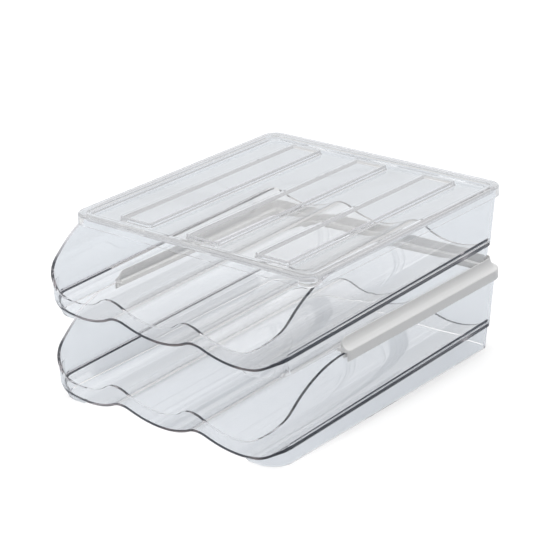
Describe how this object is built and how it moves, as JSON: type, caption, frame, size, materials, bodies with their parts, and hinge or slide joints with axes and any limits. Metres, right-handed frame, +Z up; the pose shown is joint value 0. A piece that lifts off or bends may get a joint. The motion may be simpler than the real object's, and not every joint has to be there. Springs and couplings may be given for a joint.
{
  "type": "egg storage box",
  "caption": "Clear stackable egg box for a fridge: lane bins with a waved front lip, a stacking frame and a ribbed lid.",
  "frame": {"origin": "on the table under the lower bin, in the middle of the width", "axes": "+X to the right, +Y to the back, +Z up; the waved lips face -Y"},
  "size_m": [0.2, 0.2468, 0.1177],
  "materials": {
    "clear_bin": "clear rigid plastic, polished",
    "clear_lid": "clear rigid plastic, polished",
    "frosted_frame": "milky translucent plastic, satin"
  },
  "bodies": {
    "lower_bin": {"lower_bin": "clear_bin"},
    "stacking_frame": {"stacking_frame": "frosted_frame"},
    "upper_bin": {"upper_bin": "clear_bin"},
    "lid": {"lid": "clear_lid"}
  },
  "joints": [
    {"name": "frame_lift", "type": "slide", "parent": "lower_bin", "child": "stacking_frame", "axis": [0, 0, 1], "range_m": [0, 0.06]},
    {"name": "upper_bin_slide", "type": "slide", "parent": "stacking_frame", "child": "upper_bin", "axis": [0, -1, 0], "range_m": [0, 0.12]},
    {"name": "lid_lift", "type": "slide", "parent": "upper_bin", "child": "lid", "axis": [0, 0, 1], "range_m": [0, 0.06]}
  ]
}
